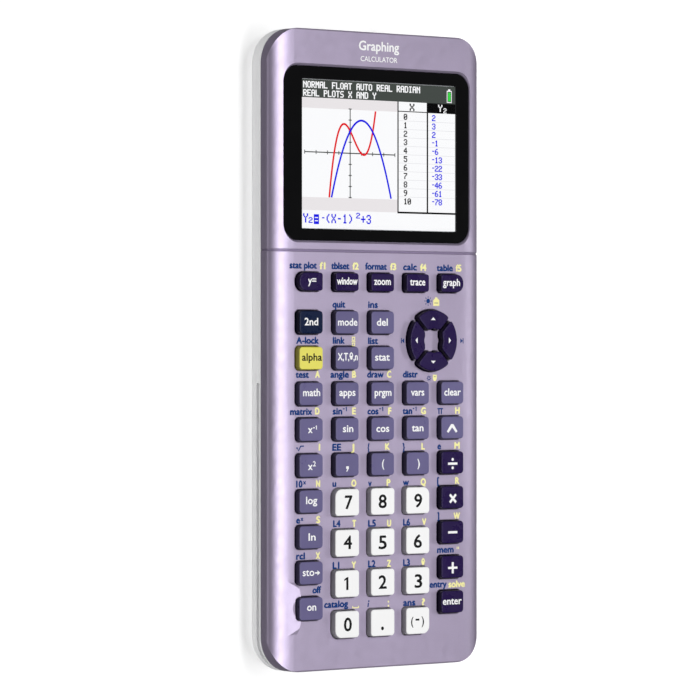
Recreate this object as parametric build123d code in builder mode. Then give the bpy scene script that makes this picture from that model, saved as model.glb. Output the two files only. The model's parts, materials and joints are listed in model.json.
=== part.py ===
from build123d import *
import math
import os

# Hand-held graphing calculator lying on its back, millimetres.
# +Z is out of the keyboard face, +Y runs towards the display end,
# the origin is under the middle of the case on the surface it rests on.

os.makedirs("parts", exist_ok=True)

# ---- case ---------------------------------------------------------------
LENGTH = 190.0
WIDTH = 81.0
CORNER_R = 10.5          # plan-view corners
FACE_Z = 13.3            # flat keyboard face
BAND_Z = 10.4            # top of the vertical side band
FLAT_HALF = 32.2         # half width of the flat part of the face
PART_Z = 8.0             # where the two shells meet
SEAM = 0.16              # visible gap between the shells
REAR_Z = 0.4             # underside of the rear shell
REAR_EDGE_R = 5.0        # rounded back edge
WALL = 2.0               # front shell side walls
REAR_WALL = 2.6          # rear shell side walls
PLATE_BACK_Z = 11.3      # underside of the key plate
REAR_FLOOR_Z = 2.0       # inside of the back wall
SPLIT_Y = 29.4           # fine decorative line between display and keys

# ---- display ------------------------------------------------------------
WINDOW_W, WINDOW_H, WINDOW_R = 71.3, 51.6, 5.0
WINDOW_Y = 58.2
WINDOW_TOP = 12.7
WINDOW_T = 0.8
LCD_X, LCD_Y = 1.4, 58.0
LCD_W, LCD_H = 62.6, 47.2
LCD_TOP = 11.8
LCD_BACK = 8.5

# ---- keys ---------------------------------------------------------------
KEY_TOP = 15.2
KEY_TRAVEL = 1.0
KEY_GAP = 0.25           # clearance round each cap in the key plate
FLANGE = 0.7             # how far the hidden flange stands out of the cap
FLANGE_TOP = 11.15
FLANGE_BACK = 10.35
RIM = 0.22               # broken upper edge of each key hole
EDGE_ROUND = 0.35        # rounded rim of every cap
COLS = [-27.2, -13.6, 0.0, 13.6, 27.2]
SMALL_W, SMALL_H = 8.8, 6.7
SOFT_W, SOFT_H = 8.85, 5.3
DIGIT_W, DIGIT_H = 9.1, 8.0
ROW_SOFT = 20.2
ROW = {"second": 8.2, "alpha": -2.4, "math": -12.95, "inverse": -23.5, "square": -34.1,
       "log": -44.65, "ln": -55.2, "store": -65.75, "on": -76.3}
DIGIT_ROW = [-45.25, -57.35, -69.4, -81.5]
PAD_X, PAD_Y = 19.9, 2.85
PAD_R = 9.2
PAD_INNER = 3.35         # distance of each arrow key's inner edge from the middle
PAD_GAP = 1.1            # width of the diagonal webs between arrow keys

# ---- inside -------------------------------------------------------------
BOARD_BACK, BOARD_TOP = 7.0, 8.2
MAT_TOP = 9.0            # rubber mat under the keys
DOME_TOP = 10.3
BOSSES = [(x * s, y) for (x, y) in [(33.0, 87.2), (35.0, 28.4), (35.0, -30.0), (33.0, -87.2)]
          for s in (-1, 1)]
BOSS_R = 2.1
DOOR_W, DOOR_H, DOOR_Y = 50.4, 63.4, 22.0
DOOR_GAP = 0.2
PACK_W, PACK_H, PACK_Y = 44.0, 52.0, 25.6
FEET = [(x, y) for x in (-29.0, 29.0) for y in (-80.0, 80.0)]
FOOT_R = 4.0
USB_X, JACK_X, PORT_Z = 9.0, -11.0, 4.75

SMALL_R = (1.1, 1.1, 1.1, 1.1)     # corner radii: top left, top right, bottom right, bottom left
DIGIT_C = (1.1, 1.1, 1.1, 1.1)

# name, x, y, width, height, corner radii
KEYS = [
    ("key_y_equals", COLS[0], ROW_SOFT, SOFT_W, SOFT_H, (2.4, 0.8, 0.8, 2.4)),
    ("key_window", COLS[1], ROW_SOFT, SOFT_W, SOFT_H, (0.8, 0.8, 0.8, 0.8)),
    ("key_zoom", COLS[2], ROW_SOFT, SOFT_W, SOFT_H, (0.8, 0.8, 0.8, 0.8)),
    ("key_trace", COLS[3], ROW_SOFT, SOFT_W, SOFT_H, (0.8, 0.8, 0.8, 0.8)),
    ("key_graph", COLS[4], ROW_SOFT, SOFT_W, SOFT_H, (0.8, 2.4, 2.4, 0.8)),
    ("key_second", COLS[0], ROW["second"], SMALL_W, SMALL_H, SMALL_R),
    ("key_mode", COLS[1], ROW["second"], SMALL_W, SMALL_H, SMALL_R),
    ("key_delete", COLS[2], ROW["second"], SMALL_W, SMALL_H, SMALL_R),
    ("key_alpha", COLS[0], ROW["alpha"], SMALL_W, SMALL_H, SMALL_R),
    ("key_variable", COLS[1], ROW["alpha"], SMALL_W, SMALL_H, SMALL_R),
    ("key_stat", COLS[2], ROW["alpha"], SMALL_W, SMALL_H, SMALL_R),
    ("key_math", COLS[0], ROW["math"], SMALL_W, SMALL_H, SMALL_R),
    ("key_apps", COLS[1], ROW["math"], SMALL_W, SMALL_H, SMALL_R),
    ("key_program", COLS[2], ROW["math"], SMALL_W, SMALL_H, SMALL_R),
    ("key_vars", COLS[3], ROW["math"], SMALL_W, SMALL_H, SMALL_R),
    ("key_clear", COLS[4], ROW["math"], SMALL_W, SMALL_H, SMALL_R),
    ("key_inverse", COLS[0], ROW["inverse"], SMALL_W, SMALL_H, SMALL_R),
    ("key_sin", COLS[1], ROW["inverse"], SMALL_W, SMALL_H, SMALL_R),
    ("key_cos", COLS[2], ROW["inverse"], SMALL_W, SMALL_H, SMALL_R),
    ("key_tan", COLS[3], ROW["inverse"], SMALL_W, SMALL_H, SMALL_R),
    ("key_power", COLS[4], ROW["inverse"], SMALL_W, SMALL_H, SMALL_R),
    ("key_square", COLS[0], ROW["square"], SMALL_W, SMALL_H, SMALL_R),
    ("key_comma", COLS[1], ROW["square"], SMALL_W, SMALL_H, SMALL_R),
    ("key_open_paren", COLS[2], ROW["square"], SMALL_W, SMALL_H, SMALL_R),
    ("key_close_paren", COLS[3], ROW["square"], SMALL_W, SMALL_H, SMALL_R),
    ("key_divide", COLS[4], ROW["square"], SMALL_W, SMALL_H, SMALL_R),
    ("key_log", COLS[0], ROW["log"], SMALL_W, SMALL_H, SMALL_R),
    ("key_7", COLS[1], DIGIT_ROW[0], DIGIT_W, DIGIT_H, (2.4, 1.1, 1.1, 1.1)),
    ("key_8", COLS[2], DIGIT_ROW[0], DIGIT_W, DIGIT_H, DIGIT_C),
    ("key_9", COLS[3], DIGIT_ROW[0], DIGIT_W, DIGIT_H, (1.1, 2.4, 1.1, 1.1)),
    ("key_multiply", COLS[4], ROW["log"], SMALL_W, SMALL_H, SMALL_R),
    ("key_ln", COLS[0], ROW["ln"], SMALL_W, SMALL_H, SMALL_R),
    ("key_4", COLS[1], DIGIT_ROW[1], DIGIT_W, DIGIT_H, DIGIT_C),
    ("key_5", COLS[2], DIGIT_ROW[1], DIGIT_W, DIGIT_H, DIGIT_C),
    ("key_6", COLS[3], DIGIT_ROW[1], DIGIT_W, DIGIT_H, DIGIT_C),
    ("key_minus", COLS[4], ROW["ln"], SMALL_W, SMALL_H, SMALL_R),
    ("key_store", COLS[0], ROW["store"], SMALL_W, SMALL_H, SMALL_R),
    ("key_1", COLS[1], DIGIT_ROW[2], DIGIT_W, DIGIT_H, DIGIT_C),
    ("key_2", COLS[2], DIGIT_ROW[2], DIGIT_W, DIGIT_H, DIGIT_C),
    ("key_3", COLS[3], DIGIT_ROW[2], DIGIT_W, DIGIT_H, DIGIT_C),
    ("key_plus", COLS[4], ROW["store"], SMALL_W, SMALL_H, SMALL_R),
    ("key_on", COLS[0], ROW["on"], SMALL_W, SMALL_H, SMALL_R),
    ("key_0", COLS[1], DIGIT_ROW[3], DIGIT_W, DIGIT_H, (1.1, 1.1, 1.1, 2.4)),
    ("key_point", COLS[2], DIGIT_ROW[3], DIGIT_W, DIGIT_H, DIGIT_C),
    ("key_negate", COLS[3], DIGIT_ROW[3], DIGIT_W, DIGIT_H, (1.1, 1.1, 2.4, 1.1)),
    ("key_enter", COLS[4], ROW["on"], SMALL_W, SMALL_H, SMALL_R),
]
ARROWS = [("key_right", 0), ("key_up", 90), ("key_left", 180), ("key_down", 270)]


def key_outline(x, y, w, h, radii, grow=0.0):
    # rectangle with its own radius at each corner, grown outwards by grow
    with BuildSketch() as outline:
        with Locations((x, y)):
            Rectangle(w + 2 * grow, h + 2 * grow)
        corners = [(-1, 1), (1, 1), (1, -1), (-1, -1)]
        for (sx, sy), radius in zip(corners, radii):
            at = (x + sx * (w / 2 + grow), y + sy * (h / 2 + grow), 0)
            fillet(outline.vertices().sort_by_distance(at)[0], max(radius + grow, 0.1))
    return outline.sketch


def arrow_outline(angle, grow=0.0):
    # quarter of a ring with straight diagonal sides and a small scallop in the inner edge
    tip = (PAD_GAP / 2 - grow) * math.sqrt(2)
    near = PAD_INNER - grow
    reach = PAD_R + 3
    with BuildSketch() as outline:
        Circle(PAD_R + grow)
        with BuildLine():
            Polyline((near, near - tip), (reach, reach - tip), (reach, tip - reach), (near, tip - near),
                     close=True)
        make_face(mode=Mode.INTERSECT)
        with Locations((PAD_INNER + 0.3 - 2.2, 0)):
            Circle(2.2 - grow, mode=Mode.SUBTRACT)
        for sy in (-1, 1):
            inner = outline.vertices().sort_by_distance((near, sy * (near - tip), 0))[0]
            fillet(inner, 0.45 + grow / 2)
        for sy in (-1, 1):
            far = outline.vertices().sort_by_distance((6.9, sy * 6.1, 0))[0]
            fillet(far, 0.7 + grow)
    return Location((PAD_X, PAD_Y, 0)) * Rotation(0, 0, angle) * outline.sketch


def key_body(outline, flange):
    # cap rounded round its top rim, on a flange that stays under the key plate
    with BuildPart() as key:
        with BuildSketch(Plane.XY.offset(FLANGE_TOP)):
            add(outline)
        extrude(amount=KEY_TOP - FLANGE_TOP)
        fillet(key.faces().sort_by(Axis.Z)[-1].edges(), EDGE_ROUND)
        with BuildSketch(Plane.XY.offset(FLANGE_BACK)):
            add(flange)
        extrude(amount=FLANGE_TOP - FLANGE_BACK)
    return key.part


outlines, holes, rims, flanges, centres = {}, {}, {}, {}, {}
for name, x, y, w, h, radii in KEYS:
    outlines[name] = key_outline(x, y, w, h, radii)
    holes[name] = key_outline(x, y, w, h, radii, KEY_GAP)
    rims[name] = key_outline(x, y, w, h, radii, KEY_GAP + RIM + 0.03)
    flanges[name] = key_outline(x, y, w, h, radii, FLANGE)
    centres[name] = (x, y)
for name, angle in ARROWS:
    outlines[name] = arrow_outline(angle)
    holes[name] = arrow_outline(angle, KEY_GAP)
    rims[name] = arrow_outline(angle, KEY_GAP + RIM + 0.03)
    flanges[name] = arrow_outline(angle, 0.5)
    centres[name] = (PAD_X + 6.4 * math.cos(math.radians(angle)),
                     PAD_Y + 6.4 * math.sin(math.radians(angle)))

for name in outlines:
    key = key_body(outlines[name], flanges[name])
    key.label = name
    export_step(key, "parts/" + name + ".step")


# ---- front shell ----------------------------------------------------------
# Side view from the end: vertical band, quarter-ellipse shoulder, flat face.
SHOULDER_A = WIDTH / 2 - FLAT_HALF
SHOULDER_B = FACE_Z - BAND_Z

LINE_W, LINE_D = 0.9, 0.4      # fine V line between display and keys


def end_profile(inset, y):
    # closed outline of the front shell seen from the end, pulled in by inset
    a, b = SHOULDER_A - inset, SHOULDER_B - inset
    half, top = WIDTH / 2 - inset, FACE_Z - inset
    with BuildSketch(Plane.XZ.offset(-y)) as profile:
        with BuildLine():
            Line((-FLAT_HALF, top), (FLAT_HALF, top))
            EllipticalCenterArc((FLAT_HALF, BAND_Z), a, b, start_angle=0, arc_size=90)
            Line((half, BAND_Z), (half, 6.0))
            Line((half, 6.0), (-half, 6.0))
            Line((-half, 6.0), (-half, BAND_Z))
            EllipticalCenterArc((-FLAT_HALF, BAND_Z), a, b, start_angle=90, arc_size=90)
        make_face()
    return profile.sketch


line_profiles = [end_profile(0, SPLIT_Y - LINE_W / 2), end_profile(LINE_D, SPLIT_Y),
                 end_profile(0, SPLIT_Y + LINE_W / 2)]
with BuildPart() as line_core:
    loft(line_profiles, ruled=True)
with BuildPart() as front_groove:
    # what the line takes away: a slab round the waisted core
    with BuildSketch(Plane.XZ.offset(-SPLIT_Y)):
        with Locations((0, 6.5)):
            Rectangle(WIDTH + 2, 8, align=(Align.CENTER, Align.MIN))
    extrude(amount=LINE_W / 2, both=True)
    add(line_core.part, mode=Mode.SUBTRACT)

GUARD_Y = ROW["on"] + 0.1
GUARD_TOP = 13.86

with BuildPart() as on_guard:
    # a low swell that shields the on key: it rises out of the shoulder, dips beside the key and ends in a step
    with BuildSketch(Plane.XZ.offset(-GUARD_Y)):
        with BuildLine():
            Polyline((-35.2, 12.5), (-35.2, 13.09), (-29.5, 13.866), (-29.5, 12.5), close=True)
        make_face()
    extrude(amount=8.0, both=True)
    with BuildSketch(Plane.YZ.offset(-36.0)):
        with BuildLine():
            Spline((GUARD_Y - 8.0, 13.2), (GUARD_Y - 6.3, GUARD_TOP - 0.24), (GUARD_Y - 4.5, GUARD_TOP),
                   (GUARD_Y - 2.4, 13.58), (GUARD_Y, 13.42), (GUARD_Y + 2.4, 13.58),
                   (GUARD_Y + 4.5, GUARD_TOP), (GUARD_Y + 6.3, GUARD_TOP - 0.24), (GUARD_Y + 8.0, 13.2))
            Polyline((GUARD_Y + 8.0, 13.2), (GUARD_Y + 8.0, 12.4), (GUARD_Y - 8.0, 12.4), (GUARD_Y - 8.0, 13.2))
        make_face()
    extrude(amount=8, mode=Mode.INTERSECT)
    with BuildSketch(Plane.XY.offset(12.3)):
        with Locations((-51.9, GUARD_Y)):
            Circle(22.2)
    extrude(amount=4, mode=Mode.INTERSECT)

with BuildPart() as front_room:
    # hollow inside of the front shell
    with BuildSketch(Plane.XZ):
        with BuildLine():
            half = WIDTH / 2 - WALL
            Polyline((-half, 7.0), (-half, 9.6), (-34.4, PLATE_BACK_Z), (34.4, PLATE_BACK_Z),
                     (half, 9.6), (half, 7.0), close=True)
        make_face()
    extrude(amount=LENGTH / 2 - WALL, both=True)
    with BuildSketch(Plane.XY.offset(6.0)):
        RectangleRounded(WIDTH - 2 * WALL, LENGTH - 2 * WALL, CORNER_R - WALL)
    extrude(amount=8, mode=Mode.INTERSECT)

with BuildPart() as key_rims:
    # broken upper edge of every key hole
    for name in holes:
        with BuildSketch(Plane.XY.offset(FACE_Z + 0.03)):
            add(rims[name])
        extrude(amount=-RIM - 0.03, taper=45)

with BuildPart() as window_bevel:
    # bevel round the window recess
    with BuildSketch(Plane.XY.offset(FACE_Z + 0.03)):
        with Locations((0, WINDOW_Y)):
            RectangleRounded(WINDOW_W + 1.4, WINDOW_H + 1.4, WINDOW_R + 0.7)
    extrude(amount=-0.6, taper=45)

with BuildPart() as front_shell:
    with BuildSketch(Plane.XZ):
        with Locations((0, 6.0)):
            Rectangle(WIDTH, BAND_Z - 6.0, align=(Align.CENTER, Align.MIN))
        with Locations((0, 6.0)):
            Rectangle(2 * FLAT_HALF, FACE_Z - 6.0, align=(Align.CENTER, Align.MIN))
        with Locations((-FLAT_HALF, BAND_Z), (FLAT_HALF, BAND_Z)):
            Ellipse(SHOULDER_A, SHOULDER_B)
    extrude(amount=LENGTH / 2, both=True)
    with BuildSketch(Plane.XY.offset(PART_Z + SEAM / 2)):
        RectangleRounded(WIDTH, LENGTH, CORNER_R)
    extrude(amount=8, mode=Mode.INTERSECT)
    # soft rim along the two flat ends
    with BuildSketch(Plane.YZ) as rim_profile:
        with Locations((0, 6.0)):
            Rectangle(LENGTH, FACE_Z - 6.0, align=(Align.CENTER, Align.MIN))
        fillet(rim_profile.vertices().group_by(Axis.Y)[-1], 0.5)
    extrude(amount=WIDTH, both=True, mode=Mode.INTERSECT)
    add(on_guard.part)
    add(front_room.part, mode=Mode.SUBTRACT)
    # frame that holds the window up and boxes the display in
    with BuildSketch(Plane.XY.offset(10.6)):
        with Locations((LCD_X, LCD_Y)):
            Rectangle(LCD_W + 3.6, LCD_H + 3.6)
    extrude(amount=PLATE_BACK_Z - 10.6)
    # screw bosses
    with BuildSketch(Plane.XY.offset(PART_Z + 0.3)):
        with Locations(*BOSSES):
            Circle(BOSS_R)
    extrude(amount=PLATE_BACK_Z + 0.3 - PART_Z - 0.3)
    with BuildSketch(Plane.XY.offset(PART_Z - 1)):
        with Locations(*BOSSES):
            Circle(1.0)
    extrude(amount=3.6, mode=Mode.SUBTRACT)
    # window recess and the opening through it
    with BuildSketch(Plane.XY.offset(WINDOW_TOP - WINDOW_T)):
        with Locations((0, WINDOW_Y)):
            RectangleRounded(WINDOW_W + 0.2, WINDOW_H + 0.2, WINDOW_R + 0.1)
    extrude(amount=4, mode=Mode.SUBTRACT)
    add(window_bevel.part, mode=Mode.SUBTRACT)
    with BuildSketch(Plane.XY.offset(9.0)):
        with Locations((LCD_X, LCD_Y)):
            Rectangle(LCD_W + 0.6, LCD_H + 0.6)
    extrude(amount=5, mode=Mode.SUBTRACT)
    # key holes with a lightly broken upper edge
    with BuildSketch(Plane.XY.offset(PLATE_BACK_Z - 0.5)):
        for name in holes:
            add(holes[name])
    extrude(amount=5, mode=Mode.SUBTRACT)
    add(key_rims.part, mode=Mode.SUBTRACT)
    add(front_groove.part, mode=Mode.SUBTRACT)
front_shell.part.label = "front_shell"
export_step(front_shell.part, "parts/front_shell.step")


# ---- rear shell -----------------------------------------------------------
GROOVE_LOW, GROOVE_HIGH, GROOVE_DEEP = 6.0, 7.3, 1.2
GROOVE_END_Y = -9.7

with BuildPart() as rail_groove:
    # undercut for a slide-on cover: both long sides and round the lower corners
    with BuildSketch(Plane.XY.offset(GROOVE_LOW)):
        Rectangle(WIDTH + 4, LENGTH + 4)
        RectangleRounded(WIDTH - 2 * GROOVE_DEEP, LENGTH - 2 * GROOVE_DEEP, CORNER_R - GROOVE_DEEP,
                         mode=Mode.SUBTRACT)
        with Locations((0, GROOVE_END_Y)):
            Rectangle(WIDTH + 6, LENGTH, align=(Align.CENTER, Align.MIN), mode=Mode.SUBTRACT)
        with Locations((0, -LENGTH / 2)):
            Rectangle(50, 20, mode=Mode.SUBTRACT)
    extrude(amount=GROOVE_HIGH - GROOVE_LOW)
    ends = [e for e in rail_groove.edges().filter_by(Axis.X) if abs(e.center().Y - GROOVE_END_Y) < 0.01]
    fillet(ends, 0.6)

with BuildPart() as rail_bumps:
    # small ramps on the groove floor that hold the cover shut
    with BuildSketch(Plane.XY.offset(GROOVE_LOW - 0.2)):
        with BuildLine():
            x0 = WIDTH / 2 - GROOVE_DEEP - 0.3
            Polyline((x0, -16.5), (x0 + 0.8, -20.1), (x0, -23.7), close=True)
        make_face()
        mirror(about=Plane.YZ)
    extrude(amount=GROOVE_HIGH - GROOVE_LOW + 0.4)

with BuildPart() as rear_shell:
    with BuildSketch(Plane.XY.offset(REAR_Z)):
        RectangleRounded(WIDTH, LENGTH, CORNER_R)
    extrude(amount=PART_Z - SEAM / 2 - REAR_Z)
    fillet(rear_shell.faces().sort_by(Axis.Z)[0].edges(), REAR_EDGE_R)
    with BuildSketch(Plane.XY.offset(REAR_FLOOR_Z)):
        RectangleRounded(WIDTH - 2 * REAR_WALL, LENGTH - 2 * REAR_WALL, CORNER_R - REAR_WALL)
    extrude(amount=8, mode=Mode.SUBTRACT)
    # keep the back edge as thick inside as the walls
    with BuildSketch(Plane.XY.offset(REAR_FLOOR_Z)):
        RectangleRounded(WIDTH - 2 * REAR_WALL, LENGTH - 2 * REAR_WALL, CORNER_R - REAR_WALL)
        RectangleRounded(WIDTH - 2 * REAR_WALL - 3.2, LENGTH - 2 * REAR_WALL - 3.2, CORNER_R - REAR_WALL - 1.6,
                         mode=Mode.SUBTRACT)
    extrude(amount=1.6)
    # tongue that locates the front shell
    with BuildSketch(Plane.XY.offset(5.2)):
        RectangleRounded(WIDTH - 2 * WALL - 0.2, LENGTH - 2 * WALL - 0.2, CORNER_R - WALL - 0.1)
        RectangleRounded(WIDTH - 2 * WALL - 2.4, LENGTH - 2 * WALL - 2.4, CORNER_R - WALL - 1.2,
                         mode=Mode.SUBTRACT)
    extrude(amount=8.9 - 5.2)
    # battery bay: ledge round the opening, and the boss for the door screw
    with BuildSketch(Plane.XY.offset(REAR_FLOOR_Z)):
        with Locations((0, DOOR_Y)):
            RectangleRounded(DOOR_W + 5, DOOR_H + 5, 3)
        with Locations((0, PACK_Y)):
            RectangleRounded(PACK_W + 0.8, PACK_H + 0.8, 2, mode=Mode.SUBTRACT)
    extrude(amount=1.0)
    with BuildSketch(Plane.XY.offset(REAR_Z)):
        with Locations((0, DOOR_Y)):
            RectangleRounded(DOOR_W + 2 * DOOR_GAP, DOOR_H + 2 * DOOR_GAP, 3 + DOOR_GAP)
    extrude(amount=REAR_FLOOR_Z - REAR_Z, mode=Mode.SUBTRACT)
    with BuildSketch(Plane.XY.offset(REAR_FLOOR_Z)):
        with Locations((0, PACK_Y)):
            RectangleRounded(PACK_W + 3.2, PACK_H + 3.2, 2.6)
            RectangleRounded(PACK_W + 0.8, PACK_H + 0.8, 2, mode=Mode.SUBTRACT)
    extrude(amount=4.4)
    DOOR_SCREW_Y = DOOR_Y - DOOR_H / 2 + 3.4
    with BuildSketch(Plane.XY.offset(REAR_FLOOR_Z)):
        with Locations((0, DOOR_SCREW_Y)):
            Circle(3.0)
    extrude(amount=4.4)
    with BuildSketch(Plane.XY.offset(REAR_FLOOR_Z - 1)):
        with Locations((0, DOOR_SCREW_Y)):
            Circle(1.15)
    extrude(amount=4.4, mode=Mode.SUBTRACT)
    # posts under the front shell's bosses, each with a counterbored screw hole
    with BuildSketch(Plane.XY.offset(REAR_FLOOR_Z - 0.2)):
        with Locations(*BOSSES):
            Circle(2.5)
    extrude(amount=BOARD_BACK - REAR_FLOOR_Z + 0.2)
    with BuildSketch(Plane.XY.offset(PART_Z - 1)):
        with Locations(*BOSSES):
            Circle(2.4)
    extrude(amount=3, mode=Mode.SUBTRACT)
    with BuildSketch(Plane.XY.offset(-1)):
        with Locations(*BOSSES):
            Circle(1.2)
    extrude(amount=10, mode=Mode.SUBTRACT)
    with BuildSketch(Plane.XY.offset(-1)):
        with Locations(*BOSSES):
            Circle(2.1)
    extrude(amount=3.4, mode=Mode.SUBTRACT)
    # pockets for the feet
    with BuildSketch(Plane.XY.offset(-1)):
        with Locations(*FEET):
            Circle(FOOT_R + 0.1)
    extrude(amount=REAR_Z + 0.5 + 1, mode=Mode.SUBTRACT)
    # sockets in the upper end: link jack and small serial connector
    with BuildSketch(Plane.XZ.offset(-LENGTH / 2 - 1)):
        with Locations((JACK_X, PORT_Z)):
            Circle(2.0)
        with Locations((USB_X, PORT_Z)):
            RectangleRounded(8.2, 4.0, 0.6)
    extrude(amount=6.2, mode=Mode.SUBTRACT)
    add(rail_groove.part, mode=Mode.SUBTRACT)
    add(rail_bumps.part)
rear_shell.part.label = "rear_shell"
export_step(rear_shell.part, "parts/rear_shell.step")


# ---- battery door with its captive screw ------------------------------------
with BuildPart() as door_screw:
    with BuildSketch(Plane.XY.offset(REAR_Z + 0.15)):
        with Locations((0, DOOR_SCREW_Y)):
            Circle(1.7)
    extrude(amount=0.7)
    with BuildSketch(Plane.XY.offset(REAR_Z + 0.85)):
        with Locations((0, DOOR_SCREW_Y)):
            Circle(0.9)
    extrude(amount=3.6)
    with BuildSketch(Plane.XY.offset(REAR_Z)):
        with Locations((0, DOOR_SCREW_Y)):
            Rectangle(2.4, 0.5)
            Rectangle(0.5, 2.4)
    extrude(amount=0.55, mode=Mode.SUBTRACT)

with BuildPart() as door_plate:
    with BuildSketch(Plane.XY.offset(REAR_Z)):
        with Locations((0, DOOR_Y)):
            RectangleRounded(DOOR_W, DOOR_H, 3)
    extrude(amount=1.4)
    fillet(door_plate.faces().sort_by(Axis.Z)[0].edges(), 0.3)
    # finger scoop with fine ribs at the upper end
    with BuildSketch(Plane.XY.offset(REAR_Z)):
        with Locations((0, DOOR_Y + DOOR_H / 2 - 8)):
            SlotOverall(20, 8)
    extrude(amount=0.45, mode=Mode.SUBTRACT)
    with BuildSketch(Plane.XY.offset(REAR_Z + 0.1)):
        with Locations((0, DOOR_Y + DOOR_H / 2 - 8)):
            with GridLocations(2.0, 0, 7, 1):
                SlotOverall(6.0, 0.7, rotation=90)
    extrude(amount=0.4)
    with Locations(Location((0, DOOR_SCREW_Y, REAR_Z), (180, 0, 0))):
        CounterBoreHole(radius=1.05, counter_bore_radius=1.8, counter_bore_depth=0.85)

battery_door = Compound(children=[door_plate.part, door_screw.part])
battery_door.label = "battery_door"
export_step(battery_door, "parts/battery_door.step")

# ---- battery pack -------------------------------------------------------------
with BuildPart() as battery_pack:
    with BuildSketch(Plane.XY.offset(2.2)):
        with Locations((0, PACK_Y)):
            RectangleRounded(PACK_W, PACK_H, 1.6)
    extrude(amount=4.3)
    fillet(battery_pack.faces().sort_by(Axis.Z)[0].edges(), 0.6)
    fillet(battery_pack.faces().sort_by(Axis.Z)[-1].edges(), 0.6)
    # label recess and three contact slots
    with BuildSketch(Plane.XY.offset(2.2)):
        with Locations((0, PACK_Y)):
            Rectangle(PACK_W - 8, PACK_H - 16)
    extrude(amount=0.15, mode=Mode.SUBTRACT)
    with BuildSketch(Plane.XY.offset(5.2)):
        with Locations((0, PACK_Y + PACK_H / 2)):
            with GridLocations(3.5, 0, 3, 1):
                Rectangle(1.4, 3.0)
    extrude(amount=2, mode=Mode.SUBTRACT)
battery_pack.part.label = "battery_pack"
export_step(battery_pack.part, "parts/battery_pack.step")

# ---- display window and display module ------------------------------------------
with BuildPart() as display_window:
    with BuildSketch(Plane.XY.offset(WINDOW_TOP - WINDOW_T)):
        with Locations((0, WINDOW_Y)):
            RectangleRounded(WINDOW_W, WINDOW_H, WINDOW_R)
    extrude(amount=WINDOW_T)
    chamfer(display_window.faces().sort_by(Axis.Z)[-1].edges(), 0.25)
display_window.part.label = "display_window"
export_step(display_window.part, "parts/display_window.step")

with BuildPart() as lcd_frame:
    # backlight tray: a step in for the glass on top
    with BuildSketch(Plane.XY.offset(LCD_BACK)):
        with Locations((LCD_X, LCD_Y)):
            Rectangle(LCD_W, LCD_H)
    extrude(amount=2.1)
    chamfer(lcd_frame.edges().filter_by(Axis.Z), 0.8)
with BuildPart() as lcd_glass:
    with BuildSketch(Plane.XY.offset(LCD_BACK + 2.1)):
        with Locations((LCD_X, LCD_Y)):
            Rectangle(LCD_W - 0.8, LCD_H - 0.8)
    extrude(amount=LCD_TOP - LCD_BACK - 2.1)
with BuildPart() as lcd_ribbon:
    with BuildSketch(Plane.XY.offset(BOARD_TOP)):
        with Locations((LCD_X, LCD_Y - 10)):
            Rectangle(18, 26)
    extrude(amount=LCD_BACK - BOARD_TOP)
lcd_module = Compound(children=[lcd_frame.part, lcd_glass.part, lcd_ribbon.part])
lcd_module.label = "lcd_module"
export_step(lcd_module, "parts/lcd_module.step")

# ---- circuit board with its sockets, chips and indicator -------------------------
with BuildPart() as board_sheet:
    with BuildSketch(Plane.XY.offset(BOARD_BACK)):
        RectangleRounded(72.6, 182.0, 7.0)
        with Locations(*BOSSES):
            Circle(2.8, mode=Mode.SUBTRACT)
    extrude(amount=BOARD_TOP - BOARD_BACK)

with BuildPart() as usb_socket:
    with BuildSketch(Plane.XZ.offset(-93.6)):
        with Locations((USB_X, PORT_Z)):
            RectangleRounded(7.7, 3.6, 0.5)
    extrude(amount=9.2)
    with BuildSketch(Plane.XY.offset(PORT_Z)):
        with Locations((USB_X, 88.8)):
            Rectangle(6.0, 6.0)
    extrude(amount=BOARD_BACK - PORT_Z)
    with BuildSketch(Plane.XZ.offset(-93.6)):
        with Locations((USB_X, PORT_Z)):
            RectangleRounded(6.9, 2.9, 0.3)
    extrude(amount=6.5, mode=Mode.SUBTRACT)
    with BuildSketch(Plane.XZ.offset(-93.0)):
        with Locations((USB_X, PORT_Z + 0.35)):
            Rectangle(5.2, 0.7)
    extrude(amount=7.0)

with BuildPart() as link_jack:
    with BuildSketch(Plane.XZ.offset(-90.6)):
        with Locations((JACK_X, PORT_Z)):
            Rectangle(6.0, 4.5)
    extrude(amount=11.0)
    with BuildSketch(Plane.XZ.offset(-94.4)):
        with Locations((JACK_X, PORT_Z)):
            Circle(1.85)
    extrude(amount=4.2)
    with BuildSketch(Plane.XZ.offset(-95)):
        with Locations((JACK_X, PORT_Z)):
            Circle(1.25)
    extrude(amount=12.0, mode=Mode.SUBTRACT)

with BuildPart() as chips:
    with BuildSketch(Plane.XY.offset(BOARD_BACK)):
        with Locations((-14, -34), (10, -36)):
            Rectangle(14, 14)
        with Locations((-4, -56), (16, -58)):
            Rectangle(8, 10)
        with Locations((-20, -58)):
            Rectangle(10, 4)
        with Locations(*[(x, -72) for x in range(-24, 25, 6)]):
            Rectangle(2, 1.2)
    extrude(amount=-1.4)
with BuildPart() as battery_contacts:
    with BuildSketch(Plane.XY.offset(BOARD_BACK)):
        with Locations((0, PACK_Y + PACK_H / 2 + 5.5)):
            Rectangle(12, 4)
    extrude(amount=-3.4)
board_pieces = [board_sheet.part, usb_socket.part, link_jack.part] + list(chips.part.solids()) \
    + [battery_contacts.part]
circuit_board = Compound(children=board_pieces)
circuit_board.label = "circuit_board"
export_step(circuit_board, "parts/circuit_board.step")

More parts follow.
